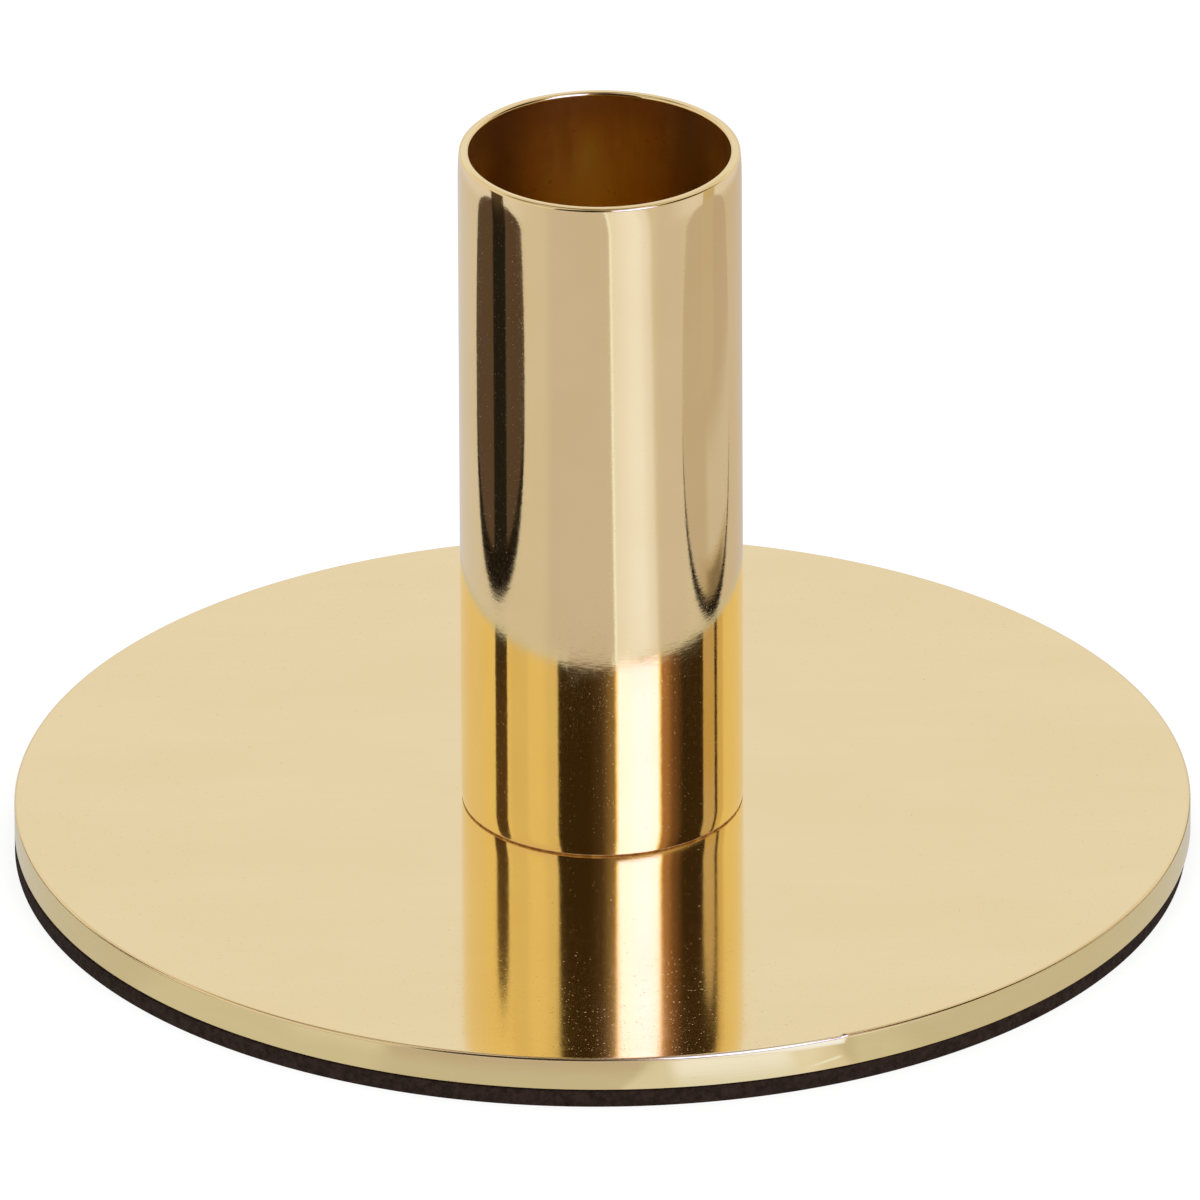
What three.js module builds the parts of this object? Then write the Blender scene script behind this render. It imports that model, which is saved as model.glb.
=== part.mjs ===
// Candle holder for one 22 mm dinner candle: a polished brass tube standing on
// a thin round brass plate, with a black self-adhesive foam pad underneath.
//
// Millimetres, +Z up. The origin is on the table, under the centre of the pad.
// Every piece is a body of revolution about Z, so each is one closed profile
// turned round the axis.
//
// How it comes apart, from the bottom: the pad peels off with its adhesive
// film, which uncovers a countersunk screw. The screw goes up through the plate
// into a tapped plug, and the plug is soldered into the foot of the tube. The
// top of the plug is the floor that the candle stands on.

import * as THREE from 'three';

// ---------------------------------------------------------------- dimensions

// Base plate: 3 mm brass sheet, ground and polished.
const PLATE_D = 100.0;
const PLATE_T = 2.9;
const PLATE_EDGE_R = 0.25; // polished edges, top and bottom

// Pad: 1.5 mm self-adhesive foam, cut to the plate's outline.
const PAD_D = 100.0;
const PAD_T = 1.4;
const PAD_EDGE_R = 0.15;
const FILM_D = 99.4;
const FILM_T = 0.1;

// Tube: the candle socket.
const TUBE_OD = 24.0;
const TUBE_ID = 22.1;
const TUBE_L = 60.6;
const TUBE_EDGE_R = 0.15;

// Plug soldered into the foot of the tube.
const PLUG_D = 22.0; // 0.05 mm of solder all round
const PLUG_H = 8.0;
const PLUG_CHAMFER = 0.3;
const PLUG_HOLE_D = 5.1; // over the crests of the screw

// M5 countersunk screw, 10 mm long over all.
const SCREW_D = 5.0;
const SCREW_L = 10.0;
const SCREW_HEAD_D = 9.3;
const SCREW_HEAD_LAND = 0.25; // cylindrical edge of the head
const SCREW_RECESS = 0.15; // the head sits this far above the plate's underside
const SCREW_SOCKET_AF = 3.0; // hex socket, across the flats
const SCREW_SOCKET_DEPTH = 1.6;
const SCREW_TIP_CHAMFER = 0.5;

const PLATE_HOLE_D = 5.5; // clearance hole for the screw
const SINK_GAP = 0.04; // round the countersunk head

const SEGMENTS = 72; // round the large pieces
const SCREW_SEGMENTS = 48;

// Heights of the stack.
const Z_PAD = 0;
const Z_FILM = Z_PAD + PAD_T;
const Z_PLATE = Z_FILM + FILM_T;
const Z_TUBE = Z_PLATE + PLATE_T;
const Z_TOP = Z_TUBE + TUBE_L; // 65.0

// ------------------------------------------------------------------- helpers

// A quarter round from one tangent point to the other, as [r, z] pairs.
// (cr, cz) is its centre; angles are in degrees in the r-z plane.
function arc(cr, cz, radius, from, to, steps = 2) {
  const out = [];
  for (let i = 0; i <= steps; i++) {
    const a = ((from + ((to - from) * i) / steps) * Math.PI) / 180;
    out.push([cr + radius * Math.cos(a), cz + radius * Math.sin(a)]);
  }
  return out;
}

// Turns a profile of [r, z] pairs round Z. A profile that starts and ends on
// the axis makes a solid piece, and any other is closed on itself to make a
// ring. Profiles run anticlockwise in the r-z plane, so that faces point out.
function turned(profile, segments = SEGMENTS) {
  const points = profile.map(([r, z]) => new THREE.Vector2(r, z));
  const first = points[0];
  const last = points[points.length - 1];
  if (first.x > 0 || last.x > 0) points.push(first.clone());
  const geometry = new THREE.LatheGeometry(points, segments);
  geometry.rotateX(Math.PI / 2);
  return geometry;
}

function piece(name, geometry, material) {
  const mesh = new THREE.Mesh(geometry, material);
  mesh.name = name;
  return mesh;
}

// ----------------------------------------------------------------- materials

const brass = new THREE.MeshStandardMaterial({ color: 0xd9b26a, roughness: 0.06, metalness: 1 });
const brassTurned = new THREE.MeshStandardMaterial({ color: 0xc79f58, roughness: 0.3, metalness: 1 });
const foam = new THREE.MeshStandardMaterial({ color: 0x26201c, roughness: 0.95, metalness: 0 });
const film = new THREE.MeshStandardMaterial({ color: 0xd8d2c0, roughness: 0.5, metalness: 0 });
const zinc = new THREE.MeshStandardMaterial({ color: 0xa9acad, roughness: 0.35, metalness: 1 });

// -------------------------------------------------------------------- pieces

// Foam pad.
const padR = PAD_D / 2;
const basePad = piece(
  'base_pad',
  turned([
    [0, Z_PAD],
    ...arc(padR - PAD_EDGE_R, Z_PAD + PAD_EDGE_R, PAD_EDGE_R, -90, 0),
    [padR, Z_FILM],
    [0, Z_FILM],
  ]),
  foam,
);

// Adhesive film between the pad and the plate.
const padAdhesive = piece(
  'pad_adhesive',
  turned([
    [0, Z_FILM],
    [FILM_D / 2, Z_FILM],
    [FILM_D / 2, Z_PLATE],
    [0, Z_PLATE],
  ]),
  film,
);

// Base plate, with its clearance hole and a 90 degree countersink from below.
const plateR = PLATE_D / 2;
const holeR = PLATE_HOLE_D / 2;
const headR = SCREW_HEAD_D / 2;
const shankR = SCREW_D / 2;
const zHead = Z_PLATE + SCREW_RECESS; // face of the head
const zLand = zHead + SCREW_HEAD_LAND; // where its cone starts
const sinkR = headR + SINK_GAP;
const basePlate = piece(
  'base_plate',
  turned([
    [sinkR, Z_PLATE],
    ...arc(plateR - PLATE_EDGE_R, Z_PLATE + PLATE_EDGE_R, PLATE_EDGE_R, -90, 0, 3),
    ...arc(plateR - PLATE_EDGE_R, Z_TUBE - PLATE_EDGE_R, PLATE_EDGE_R, 0, 90, 3),
    [holeR, Z_TUBE],
    [holeR, zLand + (sinkR - holeR)],
    [sinkR, zLand],
  ]),
  brass,
);

// Tube, with slightly rounded ends.
const tubeR = TUBE_OD / 2;
const boreR = TUBE_ID / 2;
const e = TUBE_EDGE_R;
const candleTube = piece(
  'candle_tube',
  turned([
    ...arc(tubeR - e, Z_TUBE + e, e, -90, 0),
    ...arc(tubeR - e, Z_TOP - e, e, 0, 90),
    ...arc(boreR + e, Z_TOP - e, e, 90, 180),
    ...arc(boreR + e, Z_TUBE + e, e, 180, 270),
  ]),
  brass,
);

// Plug in the foot of the tube.
const plugR = PLUG_D / 2;
const plugHoleR = PLUG_HOLE_D / 2;
const zPlug = Z_TUBE + PLUG_H; // the candle stands on this face
const c = PLUG_CHAMFER;
const tubePlug = piece(
  'tube_plug',
  turned([
    [plugHoleR, Z_TUBE],
    [plugR - c, Z_TUBE],
    [plugR, Z_TUBE + c],
    [plugR, zPlug - c],
    [plugR - c, zPlug],
    [plugHoleR + c, zPlug],
    [plugHoleR, zPlug - c],
  ]),
  brassTurned,
);

// Countersunk screw. Its hex socket opens downwards.
const zTip = zHead + SCREW_L;
const socketR = SCREW_SOCKET_AF / Math.sqrt(3); // out to the corners
const baseScrew = piece(
  'base_screw',
  turned(
    [
      [0, zHead + SCREW_SOCKET_DEPTH],
      [socketR, zHead + SCREW_SOCKET_DEPTH],
      [socketR, zHead],
      [headR, zHead],
      [headR, zLand],
      [shankR, zLand + (headR - shankR)],
      [shankR, zTip - SCREW_TIP_CHAMFER],
      [shankR - SCREW_TIP_CHAMFER, zTip],
      [0, zTip],
    ],
    SCREW_SEGMENTS,
  ),
  zinc,
);

// ------------------------------------------------------------------ assembly

const base = new THREE.Group();
base.name = 'base';
base.add(basePad, padAdhesive, basePlate, baseScrew);

const socket = new THREE.Group();
socket.name = 'socket';
socket.add(candleTube, tubePlug);

const candleHolder = new THREE.Group();
candleHolder.name = 'candle_holder';
candleHolder.add(base, socket);

export default candleHolder;
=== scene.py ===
import math
import bpy
import bmesh
from mathutils import Matrix, Vector, noise


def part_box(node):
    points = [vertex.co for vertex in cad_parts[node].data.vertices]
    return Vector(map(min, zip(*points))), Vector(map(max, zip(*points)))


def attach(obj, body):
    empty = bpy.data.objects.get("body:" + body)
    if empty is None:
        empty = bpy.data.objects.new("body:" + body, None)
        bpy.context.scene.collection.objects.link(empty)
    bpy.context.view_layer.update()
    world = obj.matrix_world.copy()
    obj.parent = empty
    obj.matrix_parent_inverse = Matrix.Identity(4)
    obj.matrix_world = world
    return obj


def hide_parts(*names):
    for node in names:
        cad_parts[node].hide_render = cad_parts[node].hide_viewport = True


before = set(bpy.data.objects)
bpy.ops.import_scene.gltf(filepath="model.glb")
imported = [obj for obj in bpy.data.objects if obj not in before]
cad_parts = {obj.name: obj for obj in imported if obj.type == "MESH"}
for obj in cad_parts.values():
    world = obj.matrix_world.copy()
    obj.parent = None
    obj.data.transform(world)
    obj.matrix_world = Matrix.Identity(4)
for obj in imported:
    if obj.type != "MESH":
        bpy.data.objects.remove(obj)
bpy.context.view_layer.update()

MM = 0.001


def span(node):
    low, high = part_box(node)
    return [v / MM for v in low], [v / MM for v in high]


# ------------------------------------------------------------------ sizes, read from the frame
(_, _, PAD_Z0), (PAD_R, _, PAD_Z1) = span("base_pad")
(_, _, FILM_Z0), (FILM_R, _, FILM_Z1) = span("pad_adhesive")
(_, _, PLATE_Z0), (PLATE_R, _, PLATE_Z1) = span("base_plate")
(_, _, TUBE_Z0), (TUBE_R, _, TUBE_Z1) = span("candle_tube")
TUBE_Z1 += 0.15  # the buffed mouth stands a hair above the cut length
(_, _, PLUG_Z0), (PLUG_R, _, PLUG_Z1) = span("tube_plug")
(_, _, SCREW_Z0), (HEAD_R, _, SCREW_Z1) = span("base_screw")
BORE_R = PLUG_R + 0.05
SHANK_R, HEAD_LAND = 2.5, 0.25


# ------------------------------------------------------------------ profiles
# A profile is a closed run of stretches in the r-z plane, anticlockwise, so that the outside is
# on its right. A stretch is a list of (r, z, nr, nz): points with the surface's own normal there,
# so that a polished face is shaded exactly and not by its facets.
def line(r0, z0, r1, z1, parts=1):
    length = math.hypot(r1 - r0, z1 - z0)
    nr, nz = (z1 - z0) / length, -(r1 - r0) / length
    return [(r0 + (r1 - r0) * i / parts, z0 + (z1 - z0) * i / parts, nr, nz) for i in range(parts + 1)]


def arc(cr, cz, radius, start, end, parts=6):
    """A convex arc where end is more than start, and a hollow one where it is less. Degrees."""
    side = 1 if end > start else -1
    out = []
    for i in range(parts + 1):
        a = math.radians(start + (end - start) * i / parts)
        out.append((cr + radius * math.cos(a), cz + radius * math.sin(a), side * math.cos(a), side * math.sin(a)))
    return out


def curve(point, slope, parts):
    """point(t) gives (r, z) and slope(t) the direction of travel, for t from 0 to 1."""
    out = []
    for i in range(parts + 1):
        t = i / parts
        r, z = point(t)
        dr, dz = slope(t)
        length = math.hypot(dr, dz)
        out.append((r, z, dz / length, -dr / length))
    return out


def turned(name, stretches, segments, materials, slots=None):
    """Turns a profile round Z into a closed mesh with exact normals. slots gives each stretch's material."""
    rings, faces = [], []  # rings: (r, z); faces: (ring, ring, normal, normal, material)
    for s, stretch in enumerate(stretches):
        for i, (r, z, nr, nz) in enumerate(stretch):
            if i == 0:
                if rings and math.hypot(rings[-1][0] - r, rings[-1][1] - z) < 1e-6:
                    here = len(rings) - 1
                else:
                    rings.append((r, z))
                    here = len(rings) - 1
                    if here:
                        raise ValueError(f"{name}: stretch {s} doesn't start where the one before ends")
            else:
                closes = s == len(stretches) - 1 and i == len(stretch) - 1
                if closes and math.hypot(rings[0][0] - r, rings[0][1] - z) < 1e-6:
                    there = 0
                else:
                    rings.append((r, z))
                    there = len(rings) - 1
                faces.append((here, there, stretch[i - 1][2:], (nr, nz), slots[s] if slots else 0))
                here = there
    verts, index = [], []
    for r, z in rings:
        if r < 1e-9:
            index.append([len(verts)] * segments)
            verts.append((0.0, 0.0, z * MM))
        else:
            index.append(list(range(len(verts), len(verts) + segments)))
            for k in range(segments):
                a = 2 * math.pi * k / segments
                verts.append((r * MM * math.cos(a), r * MM * math.sin(a), z * MM))
    polys, normals, mats = [], [], []
    for a, b, na, nb, m in faces:
        for k in range(segments):
            k1 = (k + 1) % segments
            corner = [(index[a][k], na, k), (index[a][k1], na, k + 1), (index[b][k1], nb, k + 1), (index[b][k], nb, k)]
            seen, keep = set(), []
            for c in corner:
                if c[0] not in seen:
                    seen.add(c[0])
                    keep.append(c)
            if len(keep) < 3:
                continue
            polys.append([c[0] for c in keep])
            mats.append(m)
            for _, (nr, nz), kk in keep:
                t = 2 * math.pi * kk / segments
                if rings[a][0] < 1e-9 and _ == index[a][0] or rings[b][0] < 1e-9 and _ == index[b][0]:
                    t = 2 * math.pi * (k + 0.5) / segments
                normals.append((nr * math.cos(t), nr * math.sin(t), nz))
    me = bpy.data.meshes.new(name)
    me.from_pydata(verts, [], polys)
    for m in materials:
        me.materials.append(m)
    me.polygons.foreach_set("material_index", mats)
    me.polygons.foreach_set("use_smooth", [True] * len(polys))
    me.update()
    me.normals_split_custom_set(normals)
    me.update()
    ob = bpy.data.objects.new(name, me)
    bpy.context.scene.collection.objects.link(ob)
    return ob


# ------------------------------------------------------------------ node helpers
class Tree:
    """Short ways to make shader nodes."""

    def __init__(self, name):
        self.mat = bpy.data.materials.new(name)
        self.mat.use_nodes = True
        self.nt = self.mat.node_tree
        self.nt.nodes.clear()
        self.out = self.nt.nodes.new("ShaderNodeOutputMaterial")

    def new(self, kind, **props):
        n = self.nt.nodes.new("ShaderNode" + kind)
        for k, v in props.items():
            setattr(n, k, v)
        return n

    def put(self, socket, value):
        if isinstance(value, bpy.types.NodeSocket):
            self.nt.links.new(value, socket)
        elif value is not None:
            if socket.type == "RGBA" and len(value) == 3:
                value = (*value, 1.0)
            socket.default_value = value

    def math(self, op, a, b=None, c=None, clamp=False):
        n = self.new("Math", operation=op, use_clamp=clamp)
        for s, v in zip(n.inputs, (a, b, c)):
            self.put(s, v)
        return n.outputs[0]

    def add(self, a, b):
        return self.math("ADD", a, b)

    def sub(self, a, b):
        return self.math("SUBTRACT", a, b)

    def mul(self, a, b):
        return self.math("MULTIPLY", a, b)

    def step(self, value, low, high, to_low=0.0, to_high=1.0, smooth=True):
        """A smooth step. low may be more than high, which turns it round."""
        n = self.new("MapRange", interpolation_type="SMOOTHSTEP" if smooth else "LINEAR")
        self.put(n.inputs["Value"], value)
        if low < high:
            pair = (low, high, to_low, to_high)
        else:
            pair = (high, low, to_high, to_low)
        for key, v in zip(("From Min", "From Max", "To Min", "To Max"), pair):
            self.put(n.inputs[key], v)
        return n.outputs[0]

    def mix(self, factor, a, b, kind="RGBA", blend="MIX"):
        n = self.new("Mix", data_type=kind)
        if kind == "RGBA":
            n.blend_type = blend
            f, x, y, o = n.inputs[0], n.inputs[6], n.inputs[7], n.outputs[2]
        else:
            f, x, y, o = n.inputs[0], n.inputs[2], n.inputs[3], n.outputs[0]
        self.put(f, factor)
        self.put(x, a)
        self.put(y, b)
        return o

    def where(self):
        return self.new("TexCoord").outputs["Object"]

    def scaled(self, vector, xyz):
        n = self.new("VectorMath", operation="MULTIPLY")
        self.put(n.inputs[0], vector)
        n.inputs[1].default_value = xyz
        return n.outputs[0]

    def parts(self, vector):
        n = self.new("SeparateXYZ")
        self.put(n.inputs[0], vector)
        return n.outputs

    def join(self, x, y, z):
        n = self.new("CombineXYZ")
        for s, v in zip(n.inputs, (x, y, z)):
            self.put(s, v)
        return n.outputs[0]

    def noise(self, vector, scale=1.0, detail=2.0, rough=0.5, distortion=0.0):
        n = self.new("TexNoise")
        self.put(n.inputs["Vector"], vector)
        n.inputs["Scale"].default_value = scale
        n.inputs["Detail"].default_value = detail
        n.inputs["Roughness"].default_value = rough
        n.inputs["Distortion"].default_value = distortion
        return n.outputs["Fac"] if "Fac" in n.outputs else n.outputs[0]

    def cells(self, vector, scale=1.0, random=1.0, feature="F1"):
        n = self.new("TexVoronoi", feature=feature)
        self.put(n.inputs["Vector"], vector)
        n.inputs["Scale"].default_value = scale
        n.inputs["Randomness"].default_value = random
        return n

    def bump(self, height, distance, strength=1.0, normal=None):
        n = self.new("Bump")
        n.inputs["Strength"].default_value = strength
        n.inputs["Distance"].default_value = distance
        self.put(n.inputs["Height"], height)
        self.put(n.inputs["Normal"], normal)
        return n.outputs[0]

    def principled(self, **inputs):
        n = self.new("BsdfPrincipled")
        for k, v in inputs.items():
            self.put(n.inputs[k.replace("_", " ")], v)
        self.nt.links.new(n.outputs[0], self.out.inputs["Surface"])
        return n


def millimetres(t):
    return t.scaled(t.where(), (1000.0, 1000.0, 1000.0))


# ------------------------------------------------------------------ materials of the object
def specks(t, p, scale, size, share):
    """Small round specks, one in some of the cells of a grid: how much of one is here, and its own strength."""
    cell = t.cells(p, scale, 1.0)
    r, g, b = t.parts(cell.outputs["Color"])
    there = t.math("LESS_THAN", r, share)
    return t.mul(t.step(cell.outputs["Distance"], size, size * 0.25), there), g


def brass_tube():
    """Drawn tube, buffed round and lacquered: a mirror with a faint peel, buffing lines round it and fine specks."""
    t = Tree("brass_tube_polished")
    p = millimetres(t)
    cloud = t.noise(p, 0.11, 3, 0.55)
    fleck = t.noise(p, 5.0, 2, 0.6)
    colour = t.mix(t.step(cloud, 0.35, 0.65), (0.924, 0.730, 0.362), (0.938, 0.750, 0.382))
    colour = t.mix(t.step(fleck, 0.72, 0.80, 0.0, 0.30), colour, (0.82, 0.62, 0.30))
    haze = t.noise(p, 0.8, 3, 0.6)
    speck, chance = specks(t, p, 3.6, 0.22, 0.60)
    fine, fine_chance = specks(t, p, 7.0, 0.34, 0.5)
    rough = t.add(t.step(haze, 0.35, 0.72, 0.055, 0.078), t.mul(speck, t.mul(t.mul(chance, chance), 0.38)))
    rough = t.add(rough, t.mul(fine, t.mul(fine_chance, 0.24)))
    lines = t.noise(t.scaled(p, (1.2, 1.2, 5.0)), 1.0, 3, 0.55)
    peel = t.noise(p, 1.3, 2, 0.5)
    bump = t.bump(t.add(lines, t.mul(peel, 1.2)), 0.0000015)
    t.principled(Base_Color=colour, Metallic=1.0, Roughness=rough, Normal=bump)
    return t.mat


def brass_bore():
    """Inside of the tube: drawn, not polished, and gone amber. Light and shade are painted on its far wall: a lighter
    strip down the middle as a painted highlight, and painted shade at its sides and just under the mouth.
    """
    t = Tree("brass_bore_drawn")
    p = millimetres(t)
    x, y, z = t.parts(p)
    blotch = t.noise(p, 0.22, 4, 0.62)
    draw = t.noise(t.scaled(p, (2.2, 2.2, 0.18)), 1.0, 3, 0.6)
    spot = t.noise(p, 1.1, 3, 0.7)
    colour = t.mix(t.step(blotch, 0.36, 0.68), (0.90, 0.66, 0.12), (0.74, 0.53, 0.09))
    colour = t.mix(t.step(draw, 0.35, 0.65, 0.0, 0.30), colour, (0.97, 0.73, 0.13))
    colour = t.mix(t.step(z, 61.0, 55.5, 0.0, 0.75), colour, (0.93, 0.79, 0.14))
    colour = t.mix(t.step(spot, 0.62, 0.74, 0.0, 0.6), colour, (0.42, 0.26, 0.04))
    behind = t.step(y, 3.0, 8.0)
    # painted shade: the far wall is darkened towards its left and right
    sides = t.mul(behind, t.step(t.math("ABSOLUTE", t.add(x, 0.6)), 2.4, 9.5))
    colour = t.mix(t.mul(sides, 0.92), colour, (0.41, 0.32, 0.085))
    # painted highlight: a lighter strip down the middle of the far wall, below the mouth
    strip = t.mul(behind, t.step(t.mul(t.math("ABSOLUTE", t.add(x, 0.8)), t.step(z, 63.0, 56.0, 0.62, 0.33)), 1.0, 0.05))
    strip = t.mul(strip, t.step(z, 64.0, 59.5))
    colour = t.mix(t.mul(strip, 0.9), colour, (1.0, 0.86, 0.15))
    # painted shade: darker just under the mouth
    colour = t.mix(t.step(z, 60.5, 64.5, 0.0, 0.60), colour, (0.46, 0.29, 0.11))
    rough = t.add(t.step(draw, 0.3, 0.7, 0.28, 0.34), t.step(blotch, 0.3, 0.7, 0.0, 0.06))
    bump = t.bump(t.add(draw, t.mul(spot, 0.5)), 0.000006)
    t.principled(Base_Color=colour, Metallic=1.0, Roughness=rough, Normal=bump)
    return t.mat


def brass_plate():
    """Face of the plate: polished along X over a faint grain, with haze and dust specks in the lacquer."""
    t = Tree("brass_plate_polished")
    p = millimetres(t)
    x, y, z = t.parts(p)
    grain = t.noise(t.scaled(p, (0.10, 5.5, 1.0)), 1.0, 4, 0.62)
    weave = t.noise(t.scaled(p, (3.0, 0.35, 1.0)), 1.0, 2, 0.5)
    cloud = t.noise(t.scaled(p, (0.045, 0.13, 1.0)), 1.0, 3, 0.55)
    haze = t.noise(t.scaled(p, (0.9, 0.9, 1.0)), 1.0, 4, 0.65)
    colour = t.mix(t.step(cloud, 0.32, 0.68), (0.922, 0.728, 0.362), (0.938, 0.748, 0.380))
    colour = t.mix(t.step(grain, 0.30, 0.70, 0.0, 0.25), colour, (0.90, 0.71, 0.352))
    radius = t.math("SQRT", t.add(t.mul(x, x), t.mul(y, y)))
    outward = t.step(radius, 14.0, 47.0)
    rough = t.add(t.step(grain, 0.3, 0.7, 0.060, 0.082), t.step(haze, 0.40, 0.75, 0.0, 0.020))
    large, large_own = specks(t, p, 1.6, 0.19, t.step(radius, 18.0, 44.0, 0.16, 0.62))
    small, small_own = specks(t, t.scaled(p, (1.0, 1.2, 1.0)), 3.0, 0.28, t.step(radius, 14.0, 42.0, 0.30, 0.75))
    rough = t.add(rough, t.mul(large, t.mul(t.math("POWER", large_own, 1.8), 0.40)))
    rough = t.add(rough, t.mul(small, t.mul(t.math("POWER", small_own, 1.4), t.step(outward, 0.0, 1.0, 0.14, 0.42))))
    height = t.add(t.mul(grain, 0.35), t.mul(weave, 0.12))
    height = t.add(height, t.add(t.mul(large, 0.8), t.mul(haze, 0.20)))
    bump = t.bump(height, 0.0000010)
    t.principled(Base_Color=colour, Metallic=1.0, Roughness=rough, Normal=bump)
    return t.mat


def brass_rim():
    """Turned edge of the plate: brushed round, duller than its face, with a polishing mark on the right of the front,
    whose worn edge is partly wear and partly a painted highlight.
    """
    t = Tree("brass_rim_turned")
    p = millimetres(t)
    x, y, z = t.parts(p)
    along = t.mul(t.math("ARCTAN2", x, t.mul(y, -1.0)), 50.0)
    round_ = t.join(along, t.mul(z, 14.0), 0.0)
    lathe = t.noise(t.scaled(round_, (0.05, 1.0, 1.0)), 1.0, 3, 0.6)
    cloud = t.noise(t.scaled(round_, (0.16, 0.05, 1.0)), 1.0, 3, 0.6)
    nick = t.noise(t.scaled(round_, (1.1, 0.10, 1.0)), 1.0, 3, 0.65)
    colour = t.mix(t.step(cloud, 0.3, 0.7), (0.90, 0.725, 0.372), (0.918, 0.735, 0.392))
    colour = t.mix(t.step(nick, 0.66, 0.78, 0.0, 0.4), colour, (0.74, 0.56, 0.29))
    rough = t.add(t.step(lathe, 0.3, 0.7, 0.11, 0.16), t.step(cloud, 0.3, 0.7, 0.0, 0.04))
    # the mark: a faint scuff under a worn edge that widens to the right, and a short stroke below its end. The worn
    # edge is tilted by a bump and painted pale: partly wear, partly a painted highlight.
    scuff = t.mul(t.step(t.sub(along, t.mul(z, 1.26)), -0.6, 0.6), t.step(along, 20.6, 19.6))
    scuff = t.mul(scuff, t.step(z, 1.6, 2.0))
    streak = t.noise(t.scaled(round_, (0.10, 0.40, 1.0)), 1.0, 3, 0.6)
    worn_from = t.sub(4.07, t.step(along, 6.0, 20.4, 0.06, 0.46, smooth=False))
    window = t.mul(t.step(along, 4.6, 7.6), t.step(along, 21.2, 20.6))
    wear_and_highlight = t.mul(t.step(t.sub(z, worn_from), -0.03, 0.26), window)
    wedge = t.mul(t.math("MAXIMUM", t.sub(z, worn_from), 0.0), window)
    off = t.math("ABSOLUTE", t.sub(z, t.add(t.mul(t.sub(along, 17.5), 0.16), 2.0)))
    stroke = t.mul(t.step(off, 0.19, 0.06), t.mul(t.step(along, 17.0, 19.2), t.step(along, 20.9, 20.2)))
    dull = t.mul(t.step(along, 17.6, 19.6), t.step(along, 22.6, 21.0))
    colour = t.mix(t.mul(dull, 0.55), colour, (0.77, 0.58, 0.27))
    colour = t.mix(t.mul(stroke, 0.85), colour, (0.99, 0.86, 0.50))
    # painted highlight over the wear: the worn edge's colour is raised pale so that it shines
    colour = t.mix(t.mul(wear_and_highlight, 0.9), colour, (1.0, 0.90, 0.58))
    height = t.add(t.mul(lathe, 0.5), t.mul(nick, 0.9))
    fine = t.bump(height, 0.0000022)
    worn = t.bump(t.mul(scuff, streak), 0.000006, normal=fine)
    bump = t.bump(t.mul(wedge, -1.0), 0.00013, normal=worn)
    t.principled(Base_Color=colour, Metallic=1.0, Roughness=rough, Normal=bump)
    return t.mat


def brass_edge():
    """Lower corner of the plate, where polish stays behind and goes brown."""
    t = Tree("brass_edge_brown")
    p = millimetres(t)
    patch = t.noise(p, 1.4, 4, 0.65)
    colour = t.mix(t.step(patch, 0.35, 0.65), (0.42, 0.25, 0.09), (0.64, 0.42, 0.17))
    rough = t.step(patch, 0.3, 0.7, 0.30, 0.48)
    t.principled(Base_Color=colour, Metallic=1.0, Roughness=rough, Normal=t.bump(patch, 0.00001))
    return t.mat


def seam_dark():
    """The joint between tube and plate: a hair of dark lacquer and polish."""
    t = Tree("seam_dark")
    p = millimetres(t)
    patch = t.noise(p, 1.1, 4, 0.7)
    colour = t.mix(t.step(patch, 0.38, 0.68), (0.36, 0.19, 0.050), (0.70, 0.43, 0.15))
    rough = t.step(patch, 0.3, 0.7, 0.35, 0.55)
    t.principled(Base_Color=colour, Metallic=0.3, Roughness=rough, Normal=t.bump(patch, 0.00002))
    return t.mat


def brass_turned(name="brass_plug_turned"):
    """Lathe-faced brass: fine rings round the axis."""
    t = Tree(name)
    p = millimetres(t)
    x, y, z = t.parts(p)
    radius = t.math("SQRT", t.add(t.mul(x, x), t.mul(y, y)))
    ring = t.math("SINE", t.mul(radius, 31.0))
    wobble = t.noise(t.join(t.mul(radius, 6.0), t.mul(z, 6.0), 0.0), 1.0, 3, 0.6)
    stain = t.noise(p, 0.35, 4, 0.6)
    colour = t.mix(t.step(stain, 0.35, 0.7), (0.80, 0.58, 0.27), (0.60, 0.40, 0.17))
    rough = t.step(wobble, 0.3, 0.7, 0.24, 0.36)
    bump = t.bump(t.add(t.mul(ring, 0.5), wobble), 0.000004)
    t.principled(Base_Color=colour, Metallic=1.0, Roughness=rough, Normal=bump)
    return t.mat


def foam():
    """Closed-cell foam, nearly black, with cut cells and a little lint."""
    t = Tree("foam_pad_black")
    p = millimetres(t)
    cell = t.cells(p, 4.2, 1.0)
    mottle = t.noise(p, 1.5, 4, 0.65)
    lint = t.noise(t.scaled(p, (0.7, 0.7, 0.7)), 1.0, 2, 0.5, 2.5)
    colour = t.mix(t.step(mottle, 0.30, 0.72), (0.0135, 0.0068, 0.0045), (0.032, 0.0192, 0.0138))
    colour = t.mix(t.step(cell.outputs["Distance"], 0.0, 0.45, 0.35, 0.0), colour, (0.043, 0.0275, 0.021))
    thread = t.math("ABSOLUTE", t.sub(lint, 0.5))
    fibre = t.mul(t.step(thread, 0.004, 0.0), t.step(t.noise(p, 0.16, 2, 0.5), 0.62, 0.70))
    colour = t.mix(t.mul(fibre, 0.35), colour, (0.20, 0.19, 0.18))
    rough = t.step(mottle, 0.3, 0.7, 0.86, 0.98)
    bump = t.bump(t.add(t.mul(cell.outputs["Distance"], 0.8), mottle), 0.00006)
    t.principled(Base_Color=colour, Metallic=0.0, Roughness=rough, Normal=bump, Specular_IOR_Level=0.10)
    return t.mat


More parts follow.
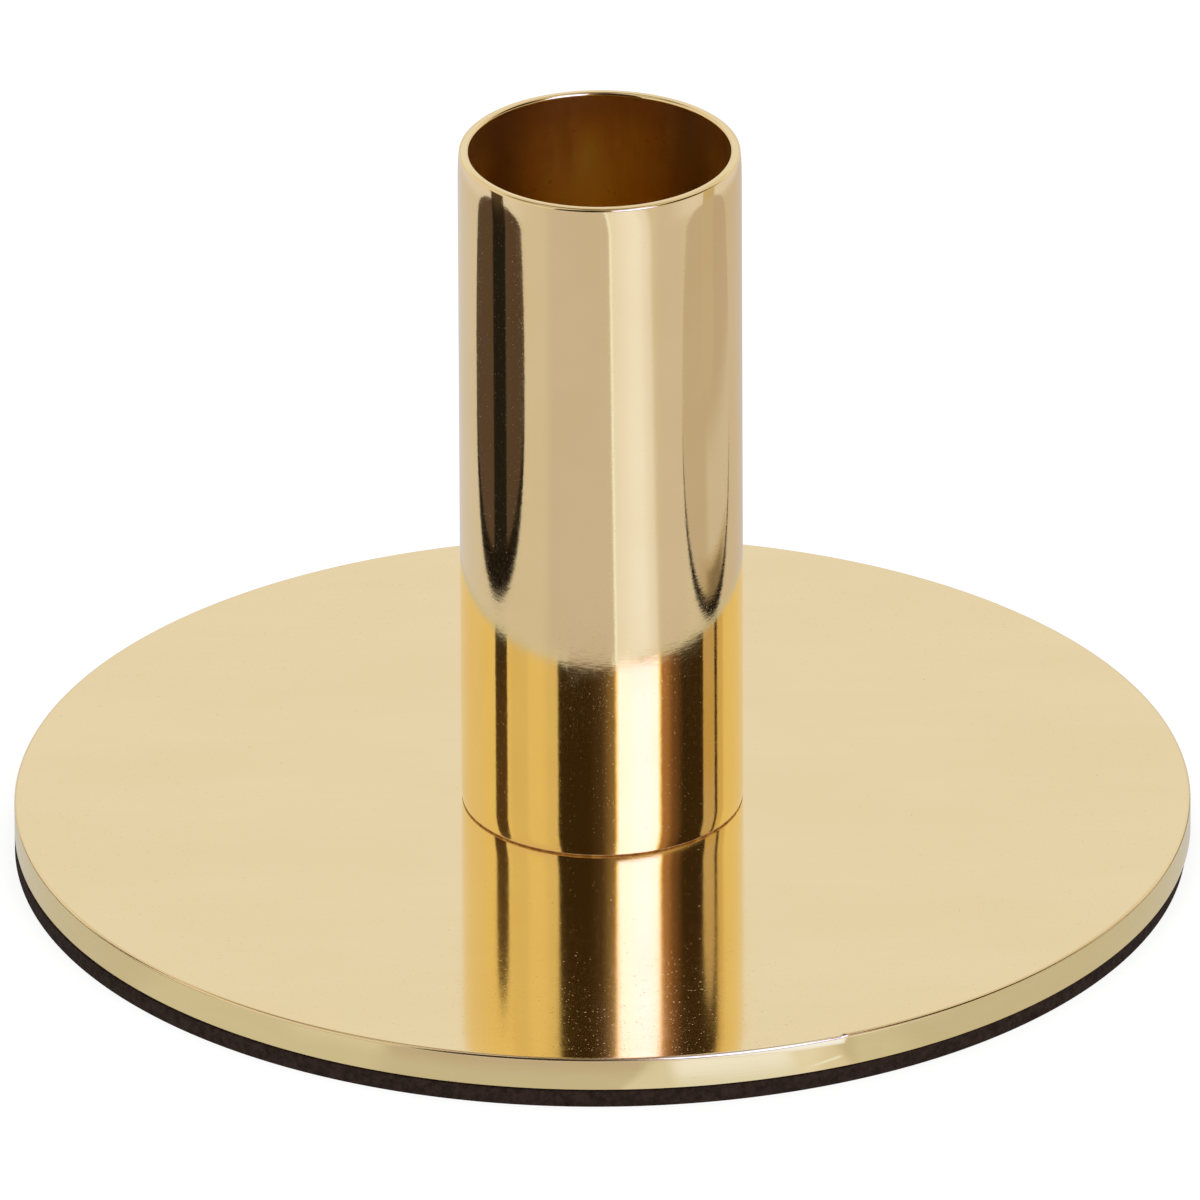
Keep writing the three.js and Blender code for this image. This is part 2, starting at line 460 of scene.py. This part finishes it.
def film():
    t = Tree("adhesive_film")
    p = millimetres(t)
    cloud = t.noise(p, 0.4, 4, 0.6)
    bubble = t.cells(p, 0.8, 1.0).outputs["Distance"]
    colour = t.mix(t.step(cloud, 0.3, 0.7), (0.60, 0.56, 0.46), (0.74, 0.71, 0.62))
    rough = t.step(bubble, 0.0, 0.6, 0.30, 0.48)
    t.principled(Base_Color=colour, Metallic=0.0, Roughness=rough, Normal=t.bump(cloud, 0.00002))
    return t.mat


def zinc():
    t = Tree("zinc_plated_steel")
    p = millimetres(t)
    cloud = t.noise(p, 0.9, 4, 0.6)
    fine = t.noise(p, 9.0, 2, 0.5)
    colour = t.mix(t.step(cloud, 0.3, 0.7), (0.56, 0.57, 0.59), (0.70, 0.70, 0.69))
    rough = t.step(fine, 0.3, 0.7, 0.26, 0.40)
    t.principled(Base_Color=colour, Metallic=1.0, Roughness=rough, Normal=t.bump(fine, 0.000004))
    return t.mat


tube_mat, bore_mat, plate_mat, rim_mat = brass_tube(), brass_bore(), brass_plate(), brass_rim()
edge_mat, seam_mat = brass_edge(), seam_dark()
plug_mat, foam_mat, film_mat, zinc_mat = brass_turned(), foam(), film(), zinc()

# ------------------------------------------------------------------ the tube
EDGE, INNER = 0.15, 0.28  # rounds at the foot and the mouth of the bore
TOP_ROLL, TOP_DROP, TOP_ROUND = 2.8, 0.10, 0.25  # buffing rounds the top of the tube
FOOT_ROLL, FOOT_DROP, FOOT_ROUND = 2.1, 0.08, 0.17
LEAN = 0.007  # the wall's shading normals lean by this much, to place its reflections; its shape doesn't


def tube_outer():
    """Outer wall, from the foot up, with the buffed roll-off at each end."""
    z0, z1 = TUBE_Z0 + FOOT_ROUND, TUBE_Z1 - TOP_ROUND
    out = []
    zs = [z0 + FOOT_ROLL * i / 12 for i in range(13)]
    zs += [z0 + FOOT_ROLL + (z1 - TOP_ROLL - z0 - FOOT_ROLL) * i / 6 for i in range(1, 7)]
    zs += [z1 - TOP_ROLL + TOP_ROLL * i / 16 for i in range(1, 17)]
    for z in zs:
        r, slope = TUBE_R, -LEAN
        if z < z0 + FOOT_ROLL:
            s = (z0 + FOOT_ROLL - z) / FOOT_ROLL
            r -= FOOT_DROP * s ** 2.8
            slope += 2.8 * FOOT_DROP * s ** 1.8 / FOOT_ROLL
        if z > z1 - TOP_ROLL:
            s = (z - z1 + TOP_ROLL) / TOP_ROLL
            r -= TOP_DROP * s ** 2.8
            slope -= 2.8 * TOP_DROP * s ** 1.8 / TOP_ROLL
        length = math.hypot(1, slope)
        out.append((r, z, 1 / length, -slope / length))
    return out


wall = tube_outer()
low, high = wall[0], wall[-1]


def corner(r0, z0, n0, r1, z1, n1, parts=6):
    """A smooth corner between two points whose normals are known: a quadratic curve through the point where their tangents meet."""
    t0, t1 = (-n0[1], n0[0]), (-n1[1], n1[0])
    det = t0[0] * -t1[1] + t1[0] * t0[1]
    a = ((r1 - r0) * -t1[1] + t1[0] * (z1 - z0)) / det
    cr, cz = r0 + t0[0] * a, z0 + t0[1] * a

    def point(t):
        u = 1 - t
        return (u * u * r0 + 2 * u * t * cr + t * t * r1, u * u * z0 + 2 * u * t * cz + t * t * z1)

    def slope(t):
        return ((1 - t) * (cr - r0) + t * (r1 - cr), (1 - t) * (cz - z0) + t * (z1 - cz))

    return curve(point, slope, parts)


tube = turned(
    "candle_tube_polished",
    [
        corner(TUBE_R - FOOT_DROP - 0.17, TUBE_Z0, (0, -1), low[0], low[1], low[2:], 6),
        wall,
        corner(high[0], high[1], high[2:], TUBE_R - TOP_DROP - 0.50, TUBE_Z1, (0, 1), 10),
        line(TUBE_R - TOP_DROP - 0.50, TUBE_Z1, BORE_R + INNER, TUBE_Z1),
        arc(BORE_R + INNER, TUBE_Z1 - INNER, INNER, 90, 180, 10),
        line(BORE_R, TUBE_Z1 - INNER, BORE_R, TUBE_Z0 + EDGE, 8),
        arc(BORE_R + EDGE, TUBE_Z0 + EDGE, EDGE, 180, 270, 4),
        line(BORE_R + EDGE, TUBE_Z0, TUBE_R - FOOT_DROP - 0.17, TUBE_Z0),
    ],
    384,
    [tube_mat, bore_mat, seam_mat],
    [2, 0, 0, 0, 0, 1, 1, 2],
)

# ------------------------------------------------------------------ the plate
ROLL, DROP = 3.2, 0.030  # polishing rounds the face off towards its edge
CORNER = 0.30  # round on the plate's upper edge
LIP, LIP_W = 0.06, 0.24  # turning leaves a fine lip under the edge, outside the film
face_end = PLATE_R - CORNER


def plate_top():
    out = []
    n = 14
    for i in range(n + 1):
        s = 1 - i / n
        r = face_end - ROLL * (1 - s)
        out.append((r, PLATE_Z1 - DROP * s ** 2, 2 * DROP * s / ROLL, 1.0))
    return [(r, z, nr / math.hypot(nr, nz), nz / math.hypot(nr, nz)) for r, z, nr, nz in out]


face = plate_top()
sink_r, hole_r = HEAD_R + 0.04, 2.75
z_land = SCREW_Z0 + HEAD_LAND
plate = turned(
    "base_plate_polished",
    [
        line(sink_r, PLATE_Z0, PLATE_R - LIP_W, PLATE_Z0),
        line(PLATE_R - LIP_W, PLATE_Z0, PLATE_R - LIP_W + 0.02, PLATE_Z0 - LIP),
        line(PLATE_R - LIP_W + 0.02, PLATE_Z0 - LIP, PLATE_R - 0.08, PLATE_Z0 - LIP),
        arc(PLATE_R - 0.08, PLATE_Z0 - LIP + 0.08, 0.08, -90, 0, 5),
        line(PLATE_R, PLATE_Z0 - LIP + 0.08, PLATE_R, PLATE_Z1 - DROP - CORNER, 2),
        corner(PLATE_R, PLATE_Z1 - DROP - CORNER, (1, 0), face[0][0], face[0][1], face[0][2:], 10),
        face,
        line(face[-1][0], PLATE_Z1, hole_r, PLATE_Z1, 6),
        line(hole_r, PLATE_Z1, hole_r, z_land + sink_r - hole_r),
        line(hole_r, z_land + sink_r - hole_r, sink_r, z_land),
        line(sink_r, z_land, sink_r, PLATE_Z0),
    ],
    480,
    [plate_mat, rim_mat, edge_mat],
    [1, 2, 2, 2, 1, 1, 0, 0, 1, 1, 1],
)

# ------------------------------------------------------------------ the pad and its film
# Stuck on by hand: a hair smaller than the plate and a little off its centre, to the left and the front.
pad_edge = 0.05
pad_r, film_r = PAD_R - 0.20, FILM_R - 0.45
pad_x, pad_y = -0.19, -0.42
pad = turned(
    "base_pad_foam",
    [
        line(0, PAD_Z0, pad_r - pad_edge, PAD_Z0, 10),
        arc(pad_r - pad_edge, PAD_Z0 + pad_edge, pad_edge, -90, 0, 3),
        line(pad_r, PAD_Z0 + pad_edge, pad_r, PAD_Z1 - 0.06, 4),
        arc(pad_r - 0.06, PAD_Z1 - 0.06, 0.06, 0, 90, 3),
        line(pad_r - 0.06, PAD_Z1, 0, PAD_Z1, 4),
    ],
    480,
    [foam_mat],
)
adhesive = turned(
    "pad_adhesive_film",
    [
        line(0, FILM_Z0, film_r, FILM_Z0, 2),
        line(film_r, FILM_Z0, film_r, FILM_Z1),
        line(film_r, FILM_Z1, 0, FILM_Z1, 2),
    ],
    240,
    [film_mat],
)
for piece in (pad, adhesive):
    for v in piece.data.vertices:
        v.co.x += pad_x * MM
        v.co.y += pad_y * MM

# ------------------------------------------------------------------ the plug
c = 0.3
plug_hole = SHANK_R + 0.05
plug = turned(
    "tube_plug_turned",
    [
        line(plug_hole, PLUG_Z0, PLUG_R - c, PLUG_Z0),
        line(PLUG_R - c, PLUG_Z0, PLUG_R, PLUG_Z0 + c),
        line(PLUG_R, PLUG_Z0 + c, PLUG_R, PLUG_Z1 - c),
        line(PLUG_R, PLUG_Z1 - c, PLUG_R - c, PLUG_Z1),
        line(PLUG_R - c, PLUG_Z1, plug_hole + c, PLUG_Z1, 2),
        line(plug_hole + c, PLUG_Z1, plug_hole, PLUG_Z1 - c),
        line(plug_hole, PLUG_Z1 - c, plug_hole, PLUG_Z0, 2),
    ],
    240,
    [plug_mat],
)

# ------------------------------------------------------------------ the screw
socket_r = 3.0 / math.sqrt(3)
screw = turned(
    "base_screw_zinc",
    [
        line(0, SCREW_Z0 + 1.6, socket_r, SCREW_Z0 + 1.6),
        line(socket_r, SCREW_Z0 + 1.6, socket_r, SCREW_Z0),
        line(socket_r, SCREW_Z0, HEAD_R, SCREW_Z0),
        line(HEAD_R, SCREW_Z0, HEAD_R, z_land),
        line(HEAD_R, z_land, SHANK_R, z_land + HEAD_R - SHANK_R),
        line(SHANK_R, z_land + HEAD_R - SHANK_R, SHANK_R, SCREW_Z1 - 0.5),
        line(SHANK_R, SCREW_Z1 - 0.5, SHANK_R - 0.5, SCREW_Z1),
        line(SHANK_R - 0.5, SCREW_Z1, 0, SCREW_Z1),
    ],
    96,
    [zinc_mat],
)

for piece, node, slot in (
    (tube, "candle_tube", "polished_brass"),
    (plate, "base_plate", "polished_brass"),
    (pad, "base_pad", "foam_pad"),
    (adhesive, "pad_adhesive", "adhesive_film"),
    (plug, "tube_plug", "turned_brass"),
    (screw, "base_screw", "zinc_steel"),
):
    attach(piece, "root")
    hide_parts(node)


# ------------------------------------------------------------------ the studio
def stage_mesh(name, verts, faces, material, camera=False, glossy=True, diffuse=False, shadow=False):
    me = bpy.data.meshes.new(name)
    me.from_pydata([tuple(v) for v in verts], [], faces)
    me.materials.append(material)
    me.update()
    ob = bpy.data.objects.new(name, me)
    bpy.context.scene.collection.objects.link(ob)
    show(ob, camera, glossy, diffuse, shadow)
    return ob


def show(ob, camera, glossy, diffuse, shadow):
    ob.visible_camera, ob.visible_glossy = camera, glossy
    ob.visible_diffuse, ob.visible_shadow = diffuse, shadow
    ob.visible_transmission = camera
    ob.visible_volume_scatter = False


def quad(size, z):
    return [(-size, -size, z), (size, -size, z), (size, size, z), (-size, size, z)], [(0, 1, 2, 3)]


def ring(inner, outer, z, parts=240):
    """A flat ring round the pad's centre, facing up."""
    verts, faces = [], []
    for k in range(parts):
        a = 2 * math.pi * k / parts
        for r in (inner, outer):
            verts.append((pad_x * MM + r * math.cos(a), pad_y * MM + r * math.sin(a), z))
    for k in range(parts):
        i, j = 2 * k, 2 * ((k + 1) % parts)
        faces.append((i, i + 1, j + 1, j))
    return verts, faces


# The floor that the camera sees: plain and pale. It is open under the pad, so that the pad's underside
# shows from below.
t = Tree("floor_pale")
soft = t.noise(t.where(), 3.0, 2, 0.5)
t.principled(
    Base_Color=t.mix(soft, (0.22, 0.22, 0.218), (0.23, 0.23, 0.228)),
    Roughness=0.9,
    Specular_IOR_Level=0.0,
    Emission_Color=(1.0, 1.0, 1.0),
    Emission_Strength=0.80,
)
t.mat.cycles.emission_sampling = "NONE"
stage_mesh("floor", *ring((pad_r - pad_edge) * MM, 9.0, 0.0), t.mat, camera=True, glossy=False, diffuse=True, shadow=True)

# The table as the brass sees it: a glowing card, white, with painted light and shade and the softbox's long soft sheen
# painted across it.
# azimuth 0 is towards the camera, 90 towards +X.
t = Tree("table_white_sheen")
x, y, z = t.parts(millimetres(t))
radius = t.math("SQRT", t.add(t.mul(x, x), t.mul(y, y)))
azimuth = t.mul(t.math("ARCTAN2", x, t.mul(y, -1.0)), 180 / math.pi)
near = t.step(radius, 60.8, 59.4)
front = t.step(t.math("ABSOLUTE", t.add(azimuth, 3.0)), 43.0, 33.0)
white = t.mix(front, (0.68, 0.65, 0.70), (0.62, 0.58, 0.65))
right = t.mul(t.step(azimuth, 42.0, 48.0), t.step(azimuth, 75.0, 62.0))
white = t.mix(right, white, (0.65, 0.61, 0.68))
white = t.mix(t.mul(t.step(azimuth, 96.0, 112.0), t.step(azimuth, 178.0, 168.0)), white, (0.63, 0.57, 0.56))
far = t.mul(t.step(radius, 146.0, 175.0), t.step(t.math("ABSOLUTE", azimuth), 50.0, 80.0))
white = t.mix(far, white, (0.77, 0.75, 0.90))
left_edge = t.sub(9.8, t.mul(t.sub(radius, 52.0), 0.031))
right_edge = t.sub(43.9, t.mul(t.sub(radius, 51.0), 0.035))
past_left, past_right = t.sub(azimuth, left_edge), t.sub(right_edge, azimuth)
sheen = t.mul(t.step(past_left, -0.9, 0.9), t.step(past_right, -1.8, 3.2))
sheen_white = t.mix(t.step(past_left, 2.0, 20.0), (0.86, 0.88, 1.09), (0.93, 0.98, 1.29))
sheen_white = t.mix(t.step(past_right, 12.0, 2.0), sheen_white, (0.83, 0.84, 1.05))
bright_line = t.step(t.math("ABSOLUTE", t.sub(past_left, 1.0)), 1.5, 0.2)
sheen_white = t.mix(bright_line, sheen_white, (0.96, 1.06, 1.35))
white = t.mix(sheen, white, sheen_white)
# Close in, which only the plate's edge sees, light and shade are painted: darker and redder in front, lighter to the
# left, lit by the softbox on the right.
close = t.mix(t.mul(t.step(azimuth, -58.0, -52.0), t.step(azimuth, -22.0, -26.0)), (0.61, 0.61, 0.60), (0.66, 0.67, 0.66))
close = t.mix(t.mul(t.step(azimuth, 26.0, 27.0), t.step(azimuth, 36.0, 31.0)), close, (0.66, 0.67, 0.66))
close = t.mix(t.mul(t.step(radius, 54.8, 58.6), t.mul(t.step(azimuth, -25.5, -23.0), t.step(azimuth, 6.0, 3.5))), close, (0.54, 0.48, 0.48))
close = t.mix(t.mul(t.step(radius, 54.8, 59.0), t.mul(t.step(azimuth, -38.0, -34.0), t.step(azimuth, -23.5, -26.0))), close, (0.77, 0.78, 0.80))
lit = t.mix(t.step(radius, 53.0, 57.0), (0.80, 0.86, 1.00), (0.96, 1.05, 1.42))
lit = t.mix(t.step(radius, 57.0, 59.6), lit, (1.00, 1.10, 1.45))
lit = t.mix(t.step(azimuth, 19.5, 21.5), lit, (0.84, 0.86, 0.96))
lit = t.mix(t.step(azimuth, 8.5, 6.5), lit, (0.75, 0.77, 0.82))
past = t.sub(azimuth, t.add(t.mul(t.sub(radius, 54.3), 0.75), 2.7))
close = t.mix(t.mul(t.step(past, -0.45, 0.45), t.step(azimuth, 26.8, 25.4)), close, lit)
white = t.mix(near, white, close)
glow = t.new("Emission")
t.put(glow.inputs["Color"], white)
t.nt.links.new(glow.outputs[0], t.out.inputs["Surface"])
t.mat.cycles.emission_sampling = "NONE"
stage_mesh("table_for_reflections", *quad(7.0, 0.0), t.mat)


# The room as the brass sees it, all round: panels, a softbox to the right of the camera, and
# the dark side of the room behind the camera. azimuth 0 is towards the camera, 90 towards +X.
def room():
    t = Tree("room_for_reflections")
    n = t.new("VectorMath", operation="NORMALIZE")
    t.put(n.inputs[0], t.where())
    x, y, z = t.parts(n.outputs[0])
    azimuth = t.mul(t.math("ARCTAN2", x, t.mul(y, -1.0)), 180 / math.pi)
    height = t.mul(t.math("ARCSINE", z), 180 / math.pi)

    def panel(colour, under, left, right, low=-30, high=200, edge=2.0, rise=6.0):
        """colour between azimuths left and right and elevations low and high, over what is already there."""
        middle, half = (left + right) / 2, (right - left) / 2
        off = t.sub(t.math("WRAP", t.sub(azimuth, middle), 180.0, -180.0), 0.0)
        off = t.math("ABSOLUTE", off)
        mask = t.step(off, half + edge / 2, half - edge / 2)
        if low > -90:
            mask = t.mul(mask, t.step(height, low - rise / 2, low + rise / 2))
        if high < 90:
            mask = t.mul(mask, t.step(height, high + rise / 2, high - rise / 2))
        return t.mix(mask, under, colour)

    c = (0.87, 0.83, 0.67)  # side walls, warm white
    c = panel((0.85, 0.83, 0.79), c, -158, -112, edge=12)
    c = panel((0.85, 0.86, 0.97), c, 150, 210, edge=40)  # back wall, cooler
    c = panel((0.79, 0.75, 0.63), c, -80, -63, edge=5)
    c = panel((0.78, 0.75, 0.66), c, -47, -30, edge=8)
    c = panel((0.79, 0.73, 0.71), c, 97, 324, low=-60, high=19, rise=4)  # the walls' foot and top, greyer
    c = panel((0.78, 0.72, 0.74), c, 117, 324, low=33, rise=4)
    c = panel((0.86, 0.80, 0.66), c, 172, 188, low=-60, high=14, edge=10)
    c = panel((0.30, 0.27, 0.24), c, -180, -37, low=52, high=64, rise=8)
    c = panel((0.71, 0.62, 0.45), c, 106, 117, edge=5)
    c = panel((0.16, 0.13, 0.09), c, 142, 218, low=58, high=83, edge=8, rise=5)  # gap in the ceiling, over the back wall
    c = panel((0.04, 0.027, 0.017), c, -36.2, 50, high=86, edge=1.5, rise=7)  # dark side
    c = panel((0.04, 0.027, 0.017), c, 49, 108.5, high=60, edge=1.5, rise=9)
    c = panel((0.07, 0.05, 0.04), c, -6, 20, high=70, edge=14)
    c = panel((0.26, 0.20, 0.15), c, 4, 20, high=70, edge=12)
    c = panel((0.15, 0.09, 0.07), c, 40, 66, high=60, edge=9)
    c = panel((0.41, 0.24, 0.18), c, 40, 57, high=60, edge=9)
    c = panel((0.58, 0.53, 0.42), c, 20, 108.5, low=-60, high=17.6, edge=14, rise=2)  # a low screen
    c = panel((1.20, 1.10, 0.60), c, 10.9, 49.1, low=18.3, high=60, edge=2.6, rise=2)  # softbox
    c = panel((1.80, 1.79, 4.70), c, 12.6, 47.4, low=18.3, high=59, edge=2.2, rise=2)
    c = panel((1.80, 1.78, 5.30), c, 25, 42, low=18.3, high=58, edge=8, rise=3)
    light = t.new("Emission")
    t.put(light.inputs["Color"], c)
    t.nt.links.new(light.outputs[0], t.out.inputs["Surface"])
    t.mat.cycles.emission_sampling = "NONE"
    return t.mat


me = bpy.data.meshes.new("room_for_reflections")
bm = bmesh.new()
bmesh.ops.create_uvsphere(bm, u_segments=96, v_segments=48, radius=30.0)
bm.to_mesh(me)
bm.free()
me.materials.append(room())
dome = bpy.data.objects.new("room_for_reflections", me)
bpy.context.scene.collection.objects.link(dome)
show(dome, False, True, False, False)


# Two flags stand beside the object, a black one on the left and a pale one on the right. Each is
# a low disc on a black foot, with a post. The brass sees them; the camera doesn't. They glow with
# painted light and shade; the left disc also reflects.
def mirror_card(name, colour, glow, strip, rough=0.12):
    """Glossy and faintly lit, but for the wedge-shaped stretch where strip(t, p) is 1."""
    t = Tree(name)
    p = t.parts(millimetres(t))
    there = strip(t, p)
    n = t.new("BsdfGlossy")
    t.put(n.inputs["Color"], t.mix(there, colour, (0.0, 0.0, 0.0)))
    n.inputs["Roughness"].default_value = rough
    g = t.new("Emission")
    t.put(g.inputs["Color"], t.mix(there, glow, (0.017, 0.015, 0.013)))
    both = t.new("AddShader")
    t.nt.links.new(n.outputs[0], both.inputs[0])
    t.nt.links.new(g.outputs[0], both.inputs[1])
    t.nt.links.new(both.outputs[0], t.out.inputs["Surface"])
    t.mat.cycles.emission_sampling = "NONE"
    return t.mat


def glow_card(name, paint):
    t = Tree(name)
    n = t.new("Emission")
    t.put(n.inputs["Color"], paint(t, t.parts(millimetres(t))))
    t.nt.links.new(n.outputs[0], t.out.inputs["Surface"])
    t.mat.cycles.emission_sampling = "NONE"
    return t.mat


def flag(name, disc_at, disc_r, post_at, post_r, post_from, foot_to, disc, rim, foot, post):
    f = foot_to
    parts = [
        ("disc", [line(0, f + 0.05, disc_r, f + 0.05), line(disc_r, f + 0.05, disc_r, 4.4), line(disc_r, 4.4, 0, 4.4)], disc_at, [disc, rim], [1, 1, 0]),
        ("foot", [line(0, 0, disc_r, 0), line(disc_r, 0, disc_r, f), line(disc_r, f, 0, f)], disc_at, [foot], None),
        ("post", [line(0, post_from, post_r, post_from), line(post_r, post_from, post_r, 65), line(post_r, 65, 0, 65)], post_at, [post], None),
    ]
    for part, profile, (x, y), materials, slots in parts:
        ob = turned(f"{name}_{part}", profile, 128, materials, slots)
        ob.location = (x * MM, y * MM, 0)
        show(ob, False, True, False, False)


LEFT, RIGHT = (-119.6, -3.5), (112.6, 8.3)


def post_shadow(t, p):
    """The stretch of the left disc that lies behind its post, as the tube sees it, painted dark in place of the post's
    lower part.
    """
    x, y = t.add(p[0], LEFT[0]), t.add(p[1], LEFT[1])
    above = t.sub(y, t.sub(t.mul(t.add(x, 7.97), 0.1192), 8.97))
    below = t.sub(t.sub(-7.92, t.mul(t.add(x, 9.01), 0.1299)), y)
    return t.mul(t.step(above, -0.7, 0.7), t.step(below, -0.7, 0.7))


black = glow_card("flag_black", lambda t, p: t.mix(0.5, (0.012, 0.009, 0.007), (0.012, 0.009, 0.007)))
flag(
    "flag_left",
    LEFT,
    54.6,
    (-108, -7.5),
    12.2,
    20.0,
    1.45,
    mirror_card("flag_left_disc", (0.10, 0.07, 0.07), (0.013, 0.010, 0.009), post_shadow),
    black,
    black,
    glow_card("flag_left_post", lambda t, p: t.mix(t.step(p[2], 20.0, 40.0), (0.020, 0.015, 0.012), (0.09, 0.06, 0.04))),
)


def pale_disc(t, p):
    """Lightest towards the tube, but for its near edge, which lies in the shadow of the rim."""
    colour = t.mix(t.step(p[0], -34.0, -14.0), (0.64, 0.60, 0.65), (0.54, 0.47, 0.47))
    colour = t.mix(t.step(p[1], -4.0, -14.0), colour, (0.56, 0.50, 0.51))
    colour = t.mix(t.step(p[0], -47.5, -52.0), colour, (0.50, 0.42, 0.34))
    return t.mix(t.step(p[0], -51.0, -53.0), colour, (0.24, 0.19, 0.14))


pale = glow_card("flag_right_disc", pale_disc)
flag(
    "flag_right",
    RIGHT,
    53.0,
    (108, 6.0),
    12.7,
    4.5,
    1.95,
    pale,
    pale,
    black,
    glow_card("flag_right_post", lambda t, p: t.mix(t.step(p[2], 41.0, 45.0), t.mix(t.step(p[2], 27.0, 36.0), (0.57, 0.51, 0.49), (0.59, 0.49, 0.33)), (0.58, 0.52, 0.50))),
)

# Soft light for the pad and the floor, the same from all round.
world = bpy.data.worlds.new("soft_light")
bpy.context.scene.world = world
world.use_nodes = True
world.node_tree.nodes["Background"].inputs["Color"].default_value = (1.0, 1.0, 1.0, 1)
world.node_tree.nodes["Background"].inputs["Strength"].default_value = 1.08
key = bpy.data.lights.new("key_softbox", "AREA")
key.shape, key.size, key.energy = "DISK", 1.2, 4.0
key_ob = bpy.data.objects.new("key_softbox", key)
bpy.context.scene.collection.objects.link(key_ob)
key_ob.location = (0.5, -0.9, 1.4)
key_ob.rotation_euler = (Vector((0, 0, 0.02)) - key_ob.location).to_track_quat("-Z", "Y").to_euler()
key_ob.visible_glossy = False

# ------------------------------------------------------------------ the camera
ELEVATION, ROLL_DEG, DISTANCE, FOCAL_PX = 26.131, -0.256, 3.5, 41262.0
aim = Vector((-0.000133, 0.0, 0.022787))
e, k = math.radians(ELEVATION), math.radians(ROLL_DEG)
back = Vector((0, -math.cos(e), math.sin(e)))
right, up = Vector((1, 0, 0)), Vector((0, math.sin(e), math.cos(e)))
right, up = right * math.cos(k) + up * math.sin(k), up * math.cos(k) - right * math.sin(k)
camera = bpy.data.cameras.new("camera")
camera.sensor_width = 36.0
camera.lens = FOCAL_PX * 36.0 / 1200.0
camera.clip_start, camera.clip_end = 0.1, 40.0
camera_ob = bpy.data.objects.new("camera", camera)
bpy.context.scene.collection.objects.link(camera_ob)
basis = Matrix((right, up, back)).transposed().to_4x4()
camera_ob.matrix_world = Matrix.Translation(aim + back * DISTANCE) @ basis
bpy.context.scene.camera = camera_ob

scene = bpy.context.scene
scene.view_settings.view_transform = "Standard"
scene.view_settings.look = "None"
scene.cycles.glossy_bounces = 14
scene.cycles.max_bounces = 16
scene.cycles.blur_glossy = 0.0
scene.cycles.seed = 7
